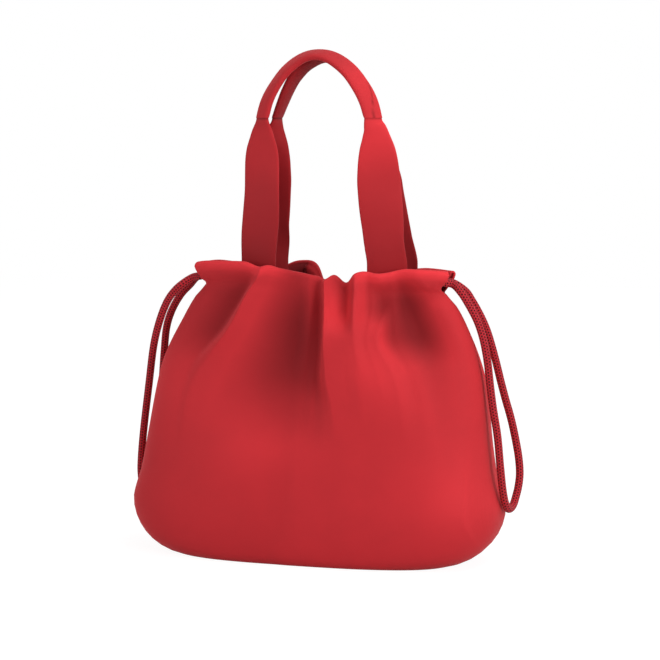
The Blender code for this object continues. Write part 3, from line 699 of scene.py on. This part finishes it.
RIGHT_LOOP = [
    (0.1337, -0.0070, 0.2437), (0.1400, -0.0085, 0.2356), (0.1448, -0.0095, 0.2283),
    (0.1515, -0.0110, 0.2158), (0.1567, -0.0120, 0.2002), (0.1602, -0.0120, 0.1817),
    (0.1624, -0.0120, 0.1632), (0.1653, -0.0120, 0.1420), (0.1695, -0.0120, 0.1173),
    (0.1720, -0.0120, 0.0925), (0.1744, -0.0110, 0.0692), (0.1762, -0.0070, 0.0560),
    (0.1780, 0.0010, 0.0500), (0.1798, 0.0090, 0.0525), (0.1818, 0.0150, 0.0624),
    (0.1834, 0.0190, 0.0754), (0.1824, 0.0210, 0.0904), (0.1793, 0.0220, 0.1073),
    (0.1746, 0.0220, 0.1279), (0.1695, 0.0210, 0.1459), (0.1650, 0.0200, 0.1630),
    (0.1603, 0.0180, 0.1829), (0.1532, 0.0150, 0.2081), (0.1450, 0.0120, 0.2265),
    (0.1370, 0.0095, 0.2400), (0.1310, 0.0075, 0.2478),
]
LOOP_POINTS = 48
RUN_END = 0.007
RUN_STEP = 6
RUN_SQUEEZE = 0.28
SQUEEZE_POINTS = 14
DOT_SPACING = 0.0027
DOT_ROWS = 9
CORD_SHADE = (0.50, 0.022, 0.034, 1.0)
CORD_RED = (0.68, 0.032, 0.046, 1.0)
CORD_DOT = (0.040, 0.003, 0.005, 1.0)
CORD_SIDES = 24
CORD_STEP = 0.0012
CURVE_STEPS = 24
LOOP_STEPS = 240
RUN_STEPS = 200


def smooth_path(points, count):
    """Evenly spaced points on a smooth curve through the given ones."""
    points = np.array(points, float)
    ends = [2 * points[0] - points[1]], [2 * points[-1] - points[-2]]
    p = np.concatenate((ends[0], points, ends[1]))
    t = np.linspace(0, 1, CURVE_STEPS, endpoint=False)[:, None]
    pieces = []
    for a, b, c, d in zip(p, p[1:], p[2:], p[3:]):
        pieces.append(b + 0.5 * t * (c - a + t * (2 * a - 5 * b + 4 * c - d + t * (3 * b - a - 3 * c + d))))
    curve = np.concatenate(pieces + [points[-1:]])
    length = np.concatenate(([0.0], np.cumsum(np.linalg.norm(np.diff(curve, axis=0), axis=1))))
    even = np.linspace(0, length[-1], count)
    return np.stack([np.interp(even, length, curve[:, k]) for k in range(3)], axis=1)


def cord_loop(outs, leads, points):
    """Route of a free loop from the front run's end round to the back run's end."""
    (first, first_lead), (last, last_lead) = [
        (np.array(outs[side]) + FACE_GAP * np.array(leads[side]), np.array(leads[side])) for side in SIDES
    ]
    bends = first + CORD_RADIUS * first_lead, last + CORD_RADIUS * last_lead
    route = smooth_path([first, bends[0], *points, bends[1], last], LOOP_POINTS)
    route[1] = first + first_lead * np.linalg.norm(route[1] - first)
    route[-2] = last + last_lead * np.linalg.norm(route[-2] - last)
    return route


class Tree:
    """A Geometry Nodes tree being built, with one way to add a node."""

    def __init__(self, name, **sizes):
        self.group = bpy.data.node_groups.new(name, "GeometryNodeTree")
        self.group.interface.new_socket("Geometry", in_out="INPUT", socket_type="NodeSocketGeometry")
        self.identifiers = {}
        for label, value in sizes.items():
            kind = "NodeSocketInt" if isinstance(value, int) else "NodeSocketFloat"
            socket = self.group.interface.new_socket(label, in_out="INPUT", socket_type=kind)
            self.identifiers[label] = socket.identifier, value
        self.group.interface.new_socket("Geometry", in_out="OUTPUT", socket_type="NodeSocketGeometry")
        self.start = self.group.nodes.new("NodeGroupInput")
        self.end = self.group.nodes.new("NodeGroupOutput")

    def node(self, kind, settings=None, inputs=None, output=0):
        made = self.group.nodes.new(kind)
        for label, value in (settings or {}).items():
            setattr(made, label, value)
        for label, value in (inputs or {}).items():
            if isinstance(value, bpy.types.NodeSocket):
                self.group.links.new(value, made.inputs[label])
            else:
                made.inputs[label].default_value = value
        return made.outputs[output]

    def finish(self, geometry, material):
        real = self.node("GeometryNodeRealizeInstances", inputs={"Geometry": geometry})
        dressed = self.node("GeometryNodeSetMaterial", inputs={"Geometry": real, "Material": material})
        self.group.links.new(dressed, self.end.inputs[0])

    def apply(self, obj):
        """Runs the tree on an object and returns its result as a plain mesh object."""
        modifier = obj.modifiers.new(self.group.name, "NODES")
        modifier.node_group = self.group
        for identifier, value in self.identifiers.values():
            modifier[identifier] = value
        graph = bpy.context.evaluated_depsgraph_get()
        mesh = bpy.data.meshes.new_from_object(obj.evaluated_get(graph), depsgraph=graph)
        mesh.name = obj.name
        made = bpy.data.objects.new(obj.name + "_knit", mesh)
        bpy.context.scene.collection.objects.link(made)
        bpy.data.objects.remove(obj, do_unlink=True)
        return made


def cord_material():
    surface = Surface("red_knit_cord", Sheen_Weight=0.1, Specular_IOR_Level=0.15)
    along = surface.node("ShaderNodeAttribute", {"attribute_name": "along"}).output("Fac")
    up = surface.node("ShaderNodeAttribute", {"attribute_name": "turn_up"}).output("Fac")
    over = surface.node("ShaderNodeAttribute", {"attribute_name": "turn_over"}).output("Fac")
    angle = up.sum("ARCTAN2", up, over) / (2 * math.pi) + 0.5
    row = angle * DOT_ROWS
    odd = row.sum("FLOOR", row) * 0.5
    from_row = (row.fraction() - 0.5).size()
    step = along / DOT_SPACING + odd
    from_step = (step.fraction() - 0.5).size()
    reach = (from_row * from_row * 4.0 + from_step * from_step * 5.2) ** 0.5
    dot = surface.node(
        "ShaderNodeMapRange",
        {"interpolation_type": "SMOOTHSTEP"},
        {"Value": reach, "From Min": 0.48, "From Max": 0.85, "To Min": 1.0, "To Max": 0.0},
    )
    yarn = (along / (DOT_SPACING / 3) + angle * DOT_ROWS).fraction().size()
    spot = surface.node("ShaderNodeTexCoord").output("Object")
    fuzz = surface.node("ShaderNodeTexNoise", inputs={"Vector": spot, "Scale": 700.0, "Detail": 2.0})
    surface.set(
        Base_Color=surface.blend(dot * 0.95, surface.blend(fuzz, CORD_SHADE, CORD_RED), CORD_DOT),
        Roughness=0.72 + fuzz * 0.12,
        Normal=surface.relief(yarn * 0.3 + fuzz * 0.3 - dot, 0.6, 0.0004),
    )
    return surface.material


knit_cord = cord_material()
cord_tree = Tree("Knitted cord", Radius=CORD_RADIUS, Sides=CORD_SIDES, Step=CORD_STEP)
route_line = cord_tree.start.outputs["Geometry"]
measured = cord_tree.node("GeometryNodeSplineParameter", output=1)
fine_line = cord_tree.node(
    "GeometryNodeResampleCurve",
    {"mode": "LENGTH"},
    {"Curve": route_line, "Length": cord_tree.start.outputs["Step"]},
)
named_line = cord_tree.node(
    "GeometryNodeStoreNamedAttribute",
    {"data_type": "FLOAT", "domain": "POINT"},
    {"Geometry": fine_line, "Name": "along", "Value": measured},
)
ring = cord_tree.node(
    "GeometryNodeCurvePrimitiveCircle",
    inputs={"Resolution": cord_tree.start.outputs["Sides"], "Radius": cord_tree.start.outputs["Radius"]},
)
share = cord_tree.node("GeometryNodeSplineParameter", output=0)
turned = cord_tree.node("ShaderNodeMath", {"operation": "MULTIPLY"}, {0: share, 1: 2 * math.pi})
for name, operation in (("turn_up", "SINE"), ("turn_over", "COSINE")):
    wave = cord_tree.node("ShaderNodeMath", {"operation": operation}, {0: turned})
    ring = cord_tree.node(
        "GeometryNodeStoreNamedAttribute",
        {"data_type": "FLOAT", "domain": "POINT"},
        {"Geometry": ring, "Name": name, "Value": wave},
    )
tube = cord_tree.node(
    "GeometryNodeCurveToMesh", inputs={"Curve": named_line, "Profile Curve": ring, "Fill Caps": True}
)
cord_tree.finish(tube, knit_cord)


def knitted_cord(name, route, squeeze=0.0):
    """A round knitted cord along a route, as a mesh. squeeze is how much thinner it is between
    its ends, where the gathers press on it."""
    curve = bpy.data.curves.new(name, "CURVE")
    curve.dimensions = "3D"
    spline = curve.splines.new("POLY")
    spline.points.add(len(route) - 1)
    for i, (point, place) in enumerate(zip(spline.points, route)):
        point.co = (*place, 1.0)
        point.radius = 1 - squeeze * ease(min(i, len(route) - 1 - i), 0, SQUEEZE_POINTS)
    line = bpy.data.objects.new(name, curve)
    bpy.context.scene.collection.objects.link(line)
    made = cord_tree.apply(line)
    made.data.shade_smooth()
    return made


for place, outs, leads, points in (
    ("left", CORD_OUT_LEFT, LEAD_LEFT, LEFT_LOOP),
    ("right", CORD_OUT_RIGHT, LEAD_RIGHT, RIGHT_LOOP),
):
    route = cord_loop(outs, leads, points)
    fine_route = smooth_path(route, LOOP_STEPS)
    loop = knitted_cord("drawstring_" + place, fine_route)
    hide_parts("drawstring_" + place + "_loop")
    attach(loop, "root")
    float(np.linalg.norm(np.diff(fine_route, axis=0), axis=1).sum())
for side in SIDES:
    rows = casing_at[side]
    middle = (rows[0] + rows[1]) / 2
    ends = [np.array(outs[side]) for outs in (CORD_OUT_LEFT, CORD_OUT_RIGHT)]
    within = (middle[:, 0] > ends[0][0] + RUN_END) & (middle[:, 0] < ends[1][0] - RUN_END)
    route = smooth_path([ends[0], *middle[within][::RUN_STEP], ends[1]], RUN_STEPS)
    run = knitted_cord("drawstring_" + side + "_in_casing", route, RUN_SQUEEZE)
    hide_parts("drawstring_" + side + "_run")
    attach(run, "root")


# Handles: each is one cut of the same cloth as the bag. Flat straps come up out of the casing at
# the front and the back, narrow, and are sewn at a cross seam to a rolled, padded grip that
# arches over between them. The front and back grips lean together at the top.
HANDLE_RISE = 0.1858
SEAM_RISE = 0.130
HANDLE_CENTRE = 0.0032
SEAM_SPANS = {"front": 0.103, "back": 0.088}
FOOT_SPANS = {"front": 0.120, "back": 0.1255}
FOOT_SHIFT = 0.0102
GRIP_OFFSET = 0.010
STRAP_WIDTH = 0.039
FOOT_WIDTH = 0.035
STRAP_THICKNESS = 0.0028
SEAM_WIDTH = 0.0165
SEAM_THICKNESS = 0.0050
GRIP_WIDTH = 0.0185
GRIP_THICKNESS = 0.0064
GRIP_STEP = 0.0009
STRAP_GAP = 0.0009
SECTION_POINTS = 40
STRAP_RINGS = 110
GRIP_RINGS = 130
ARCHES = {
    "front": [(1.0, 0.0), (0.92, 0.25), (0.79, 0.48), (0.57, 0.745), (0.28, 0.94), (0.0, 1.0)],
    "back": [(1.0, 0.0), (0.88, 0.24), (0.76, 0.45), (0.61, 0.65), (0.36, 0.85), (0.0, 0.97)],
}
LEG_SPREAD = [(-0.12, 1.0), (0.0, 1.0), (0.18, 0.75), (0.54, 0.38), (0.78, 0.26), (0.90, 0.16), (1.0, 0.0)]
LEG_SET_BACK = [(-0.12, 1.0), (0.0, 0.95), (0.18, 0.60), (0.54, 0.06), (1.0, 0.0)]
STRAP_TURN = {
    "front": [(0.0, -6.0), (0.18, 6.0), (0.54, 21.0), (0.78, 13.0), (0.90, 16.0), (1.0, 38.0)],
    "back": [(0.0, 0.0), (0.18, -4.0), (0.54, -12.0), (0.78, 10.0), (0.90, 50.0), (1.0, 82.0)],
}
GRIP_TURN = {
    "front": [(0.0, 38.0), (0.35, 50.0), (0.7, 58.0), (1.0, 68.0)],
    "back": [(0.0, 82.0), (0.35, 78.0), (0.7, 72.0), (1.0, 68.0)],
}
SEAM_TUCK = 0.0016
SEAM_LINE = 0.0026
WIDENS = (0.05, 0.45)
HELD = (0.02, 0.30)
LEVELS_OUT = (0.93, 1.0)
GRIP_FILLS = 0.35
GRIP_LEVELS_OUT = 0.10
STRAP_SQUARENESS = 5.0
GRIP_SQUARENESS = 2.8
# Painted shade and highlight on each strap and grip: painted shade towards the foot and on the
# back handle, painted shade and highlight along the grip from left to right, and a painted highlight
# on the top of the right front strap, standing in for the lamp on the right, which would make it paler
STRAP_RED = (0.640, 0.032, 0.040)
STRAP_PAINTED_SHADE = {"front": {-1: 0.80, 1: 0.58}, "back": {-1: 0.35, 1: 0.42}}
SHADED_BELOW = 0.75
BACK_PAINTED_SHADE = {"front": 0.0, "back": 0.45}
GRIP_PAINTED_SHADE_AND_HIGHLIGHT = {
    "front": [(0.0, -0.15), (0.3, -0.10), (0.5, 0.16), (0.62, 0.08), (0.78, -0.38), (1.0, -0.38)],
    "back": [(0.0, 0.70), (0.45, 0.70), (0.75, 0.36), (1.0, 0.36)],
}
PAINTED_TOP_HIGHLIGHT = 0.75
TOP_HIGHLIGHT_SHARES = (0.55, 0.9)
SEAM_SHADE = 0.9
# The wrapped cloth's edge, which shows on the right end of the front grip
EDGE_LINE = 0.0008
EDGE_SHADE = 0.9
EDGE_STARTS = (0.80, 0.84)
EDGE_AT = 0.36
STRAP_TAPER = {
    "front": [(0.54, 0.0), (0.68, 0.12), (0.78, 0.30), (0.88, 0.66), (0.95, 0.90), (1.0, 1.0)],
    "back": [(0.54, 0.05), (0.68, 0.28), (0.78, 0.52), (0.88, 0.80), (0.95, 0.94), (1.0, 1.0)],
}


def casing_face(side, x, height):
    """Point on the inner face of the casing at a height, and its inward direction in plan."""
    dip = float(rim_rise(side, x, HEM_SOFTENING))
    level = min(max(height - dip, BODY_HEIGHT - CORD_DROP), BODY_HEIGHT - RIM_FOLD_RADIUS)
    key = side, round(level, 4)
    if key not in casing_outlines:
        casing_outlines[key] = outline(side, level, SLOT_HALF, inner=True)[:2]
    points, out = casing_outlines[key]
    inner = points - CASING_THICKNESS * out
    order = np.argsort(inner[:, 0])
    at = [np.interp(x, inner[order, 0], inner[order, k]) for k in range(2)]
    normal = -np.array([np.interp(x, inner[order, 0], out[order, k]) for k in range(2)])
    return np.array([at[0], at[1], height]), np.append(normal / np.linalg.norm(normal), 0.0)


casing_outlines = {}


def band_section(width, thickness, squareness):
    """Outline of a band's cross-section: across its width, and through its thickness."""
    angles = np.linspace(0, 2 * math.pi, SECTION_POINTS, endpoint=False)
    c, s = np.cos(angles), np.sin(angles)
    across = width / 2 * np.sign(c) * np.abs(c) ** (2 / squareness)
    through = thickness / 2 * np.sign(s) * np.abs(s) ** (2 / squareness)
    return across, through


def turned_section(centre, along, turn, side, section):
    """One ring of a band: the section set square to its path and turned about it."""
    outward = np.cross(along, [0.0, 1.0, 0.0])
    outward /= np.linalg.norm(outward)
    inner = SIDES[side] * np.cross(along, outward)
    angle = math.radians(turn)
    across = math.cos(angle) * outward + math.sin(angle) * inner
    facing = math.sin(angle) * outward - math.cos(angle) * inner
    return centre + np.outer(section[0], across) + np.outer(section[1], facing)


def held_section(side, end, centre, section):
    """The strap's section laid along the inner face of the casing."""
    ring = []
    for across, through in zip(*section):
        inner, normal = casing_face(side, centre[0] + end * across, centre[2])
        ring.append(inner + normal * (STRAP_GAP + STRAP_THICKNESS / 2 - through))
    return np.array(ring)


def band(name, rings, shades, surface, node):
    """A closed band through rings of points, with its length and girth in metres as its UV map and
    how much shade is painted on each point, below 0 a painted highlight."""
    rings = np.array(rings)
    count, around = rings.shape[:2]
    points = np.concatenate((rings, rings[:, :1]), axis=1)
    girth = np.concatenate(([0.0], np.cumsum(np.linalg.norm(np.diff(points[count // 2], axis=0), axis=1))))
    length = np.concatenate(([0.0], np.cumsum(np.linalg.norm(np.diff(rings.mean(axis=1), axis=0), axis=1))))
    bm = bmesh.new()
    verts = [[bm.verts.new(p) for p in ring] for ring in rings]
    places = bm.loops.layers.uv.new("Cloth")
    for i in range(count - 1):
        for j in range(around):
            k = (j + 1) % around
            face = bm.faces.new((verts[i][j], verts[i][k], verts[i + 1][k], verts[i + 1][j]))
            corners = (i, j), (i, j + 1), (i + 1, j + 1), (i + 1, j)
            for loop, (row, column) in zip(face.loops, corners):
                loop[places].uv = girth[column], length[row]
    bm.faces.new(reversed(verts[0]))
    bm.faces.new(verts[-1])
    bmesh.ops.recalc_face_normals(bm, faces=bm.faces)
    mesh = bpy.data.meshes.new(name)
    bm.to_mesh(mesh)
    bm.free()
    depth = mesh.attributes.new("painted_shading", "FLOAT", "POINT")
    depth.data.foreach_set("value", np.array(shades, np.float32).reshape(-1))
    mesh.materials.append(surface)
    mesh.shade_smooth()
    mesh.set_sharp_from_angle(angle=math.radians(50))
    obj = bpy.data.objects.new(name, mesh)
    bpy.context.scene.collection.objects.link(obj)
    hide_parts(node)
    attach(obj, "root")
    return obj


strap_material = cloth_surface("red_strap_cloth", STRAP_RED, "Cloth", STITCH, 0.6)
for side in SIDES:
    for place, end in (("left", -1), ("right", 1)):
        seam_x = HANDLE_CENTRE + end * SEAM_SPANS[side] / 2
        foot_x = FOOT_SHIFT + end * FOOT_SPANS[side] / 2
        foot_share = -(CORD_DROP + CORD_RADIUS) / SEAM_RISE
        shares = np.linspace(foot_share, 1.0, STRAP_RINGS)
        casing_y = abs(casing_face(side, foot_x, BODY_HEIGHT)[0][1]) - STRAP_GAP - STRAP_THICKNESS / 2
        heights = BODY_HEIGHT + shares * SEAM_RISE
        x = seam_x + (foot_x - seam_x) * smooth_through(LEG_SPREAD, shares)
        y = SIDES[side] * (GRIP_OFFSET + (casing_y - GRIP_OFFSET) * smooth_through(LEG_SET_BACK, shares))
        path = np.column_stack((x, y, heights))
        alongs = np.gradient(path, axis=0)
        rings, shades = [], []
        for share, centre, along in zip(shares, path, alongs):
            taper = smooth_through(STRAP_TAPER[side], share)
            wide = FOOT_WIDTH + (STRAP_WIDTH - FOOT_WIDTH) * ease(share, *WIDENS)
            width = wide + (SEAM_WIDTH - wide) * taper
            thickness = STRAP_THICKNESS + (SEAM_THICKNESS - STRAP_THICKNESS) * taper
            squareness = STRAP_SQUARENESS + (GRIP_SQUARENESS - STRAP_SQUARENESS) * taper
            section = band_section(width, thickness, squareness)
            level_out = ease(share, *LEVELS_OUT)
            along = -end * along / np.linalg.norm(along)
            along = along + level_out * (np.array([0.0, 0.0, -end]) - along)
            along = along / np.linalg.norm(along)
            turn = float(smooth_through(STRAP_TURN[side], share))
            ring = turned_section(centre, along, turn, side, section)
            held = 1 - ease(share, *HELD)
            if held > 0:
                ring = (1 - held) * ring + held * held_section(side, end, centre, section)
            rings.append(ring)
            # Painted shade towards the foot and on the back straps, and a painted highlight on the top of
            # the right front strap; the seam shows as a dark line
            tone = STRAP_PAINTED_SHADE[side][end] * (1 - ease(share, 0.0, SHADED_BELOW)) + BACK_PAINTED_SHADE[side]
            if side == "front" and end > 0:
                tone -= PAINTED_TOP_HIGHLIGHT * ease(share, *TOP_HIGHLIGHT_SHARES)
            in_seam = SEAM_SHADE * ease(share, 1 - SEAM_LINE / SEAM_RISE, 1.0)
            shades.append(np.full(SECTION_POINTS, tone + in_seam))
        rings.append(rings[-1] + np.array([0.0, 0.0, SEAM_TUCK]))
        shades.append(shades[-1])
        band(side + "_strap_cloth_" + place, rings, shades, strap_material, side + "_strap_" + place)
    half_span = SEAM_SPANS[side] / 2
    rise = HANDLE_RISE - SEAM_RISE
    base = BODY_HEIGHT + SEAM_RISE
    half = [(share * half_span, base + up * rise) for share, up in ARCHES[side]]
    y = SIDES[side] * GRIP_OFFSET
    points = [(HANDLE_CENTRE - x, y, z) for x, z in half]
    points += [(HANDLE_CENTRE + x, y, z) for x, z in half[-2::-1]]
    path = smooth_path(points, GRIP_RINGS)
    alongs = np.gradient(path, axis=0)
    rings, shades = [], []
    for i, (centre, along) in enumerate(zip(path, alongs)):
        share = i / (GRIP_RINGS - 1)
        up = 1 - abs(2 * share - 1)
        filled = ease(up, 0.0, GRIP_FILLS)
        width = SEAM_WIDTH + GRIP_STEP + (GRIP_WIDTH - SEAM_WIDTH - GRIP_STEP) * filled
        thickness = SEAM_THICKNESS + GRIP_STEP + (GRIP_THICKNESS - SEAM_THICKNESS - GRIP_STEP) * filled
        turn = float(smooth_through(GRIP_TURN[side], up))
        section = band_section(width, thickness, GRIP_SQUARENESS)
        level_out = 1 - ease(up, 0.0, GRIP_LEVELS_OUT)
        along = along / np.linalg.norm(along)
        upright = np.array([0.0, 0.0, 1.0 if i < GRIP_RINGS / 2 else -1.0])
        along = along + level_out * (upright - along)
        rings.append(turned_section(centre, along / np.linalg.norm(along), turn, side, section))
        # Painted shade and highlight along the grip; the wrapped edge shows as a dark line
        tone = smooth_through(GRIP_PAINTED_SHADE_AND_HIGHLIGHT[side], share)
        edge = EDGE_SHADE * ease(share, *EDGE_STARTS) * (side == "front")
        edge_at = width * EDGE_AT * (1 - ease(share, EDGE_STARTS[0], 1.0))
        line = np.exp(-(((section[0] - edge_at) / EDGE_LINE) ** 2)) * (section[1] > 0)
        shades.append(tone + edge * line)
    band(side + "_grip_cloth", rings, shades, strap_material, side + "_grip")
